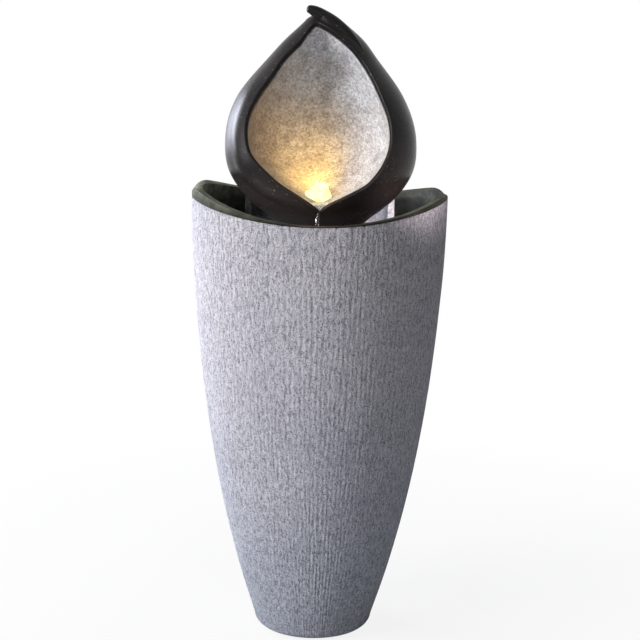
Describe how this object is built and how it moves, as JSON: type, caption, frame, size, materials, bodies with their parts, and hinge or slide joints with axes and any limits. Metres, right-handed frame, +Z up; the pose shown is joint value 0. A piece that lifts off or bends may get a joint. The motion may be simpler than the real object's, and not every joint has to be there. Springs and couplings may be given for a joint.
{
  "type": "vase water fountain",
  "caption": "Tall tapered vase fountain with a saddle rim, a basin, and a flame-shaped ornament whose lit stone dish spills water from a pointed spout.",
  "frame": {"origin": "centre of the round foot on the floor", "axes": "+Z up, the spout faces -Y, the raised ears of the rim lie along X"},
  "size_m": [0.3212, 0.321, 0.803],
  "materials": {
    "vase_stone": "combed cast stone, matt",
    "basin_black": "dark green-black resin, satin",
    "speckled_stone": "coarse speckled cast stone",
    "flame_dark": "dark bronze-black resin, semi-gloss",
    "rubber_black": "matt rubber",
    "pump_plastic": "black ABS",
    "pump_grey": "dark grey ABS",
    "white_plastic": "white moulded plastic",
    "clear_pvc": "clear flexible PVC",
    "lens_clear": "clear moulded lens",
    "board_green": "lacquered circuit board",
    "led_warm": "warm white lamps",
    "steel": "spring steel",
    "core_steel": "laminated electrical steel",
    "copper": "enamelled copper winding",
    "ceramic_white": "polished ceramic",
    "magnet_black": "ferrite magnet"
  },
  "bodies": {
    "vase": {"vase_shell": "vase_stone", "foot_pads": "rubber_black", "basin": "basin_black", "gland_body": "pump_grey", "gland_nut": "pump_grey", "gland_seal": "rubber_black", "pump_body": "pump_plastic", "stator_core": "core_steel", "stator_coil": "copper", "cover_seal": "rubber_black", "pump_cover": "pump_plastic", "pump_shaft": "ceramic_white", "shaft_bushes": "rubber_black", "suction_cups": "rubber_black", "riser_hose": "clear_pvc", "hose_clip": "steel"},
    "pedestal": {"pedestal": "speckled_stone"},
    "ornament": {"flame_shell": "flame_dark", "flame_dish": "speckled_stone", "lamp_body": "pump_grey", "led_board": "board_green", "leds": "led_warm", "lamp_gasket": "rubber_black", "lamp_lens": "lens_clear", "nozzle": "pump_grey", "nozzle_seal": "rubber_black", "lamp_lead": "rubber_black", "lamp_plug": "rubber_black"},
    "rotor": {"impeller": "white_plastic", "rotor_magnet": "magnet_black"},
    "strainer": {"strainer": "pump_grey"},
    "regulator": {"flow_regulator": "white_plastic"}
  },
  "joints": [
    {"name": "pedestal_lift", "type": "slide", "parent": "vase", "child": "pedestal", "axis": [0, 0, 1], "range_m": [0, 0.15]},
    {"name": "ornament_lift", "type": "slide", "parent": "pedestal", "child": "ornament", "axis": [0, 0, 1], "range_m": [0, 0.15]},
    {"name": "impeller_spin", "type": "hinge", "parent": "vase", "child": "rotor", "pos_m": [0, -0.03, 0.466], "axis": [0, -1, 0], "continuous": true},
    {"name": "strainer_pull", "type": "slide", "parent": "vase", "child": "strainer", "axis": [0, -1, 0], "range_m": [0, 0.008]},
    {"name": "regulator_turn", "type": "hinge", "parent": "strainer", "child": "regulator", "pos_m": [0, -0.06, 0.466], "axis": [0, -1, 0], "range_deg": [0, 90]}
  ]
}
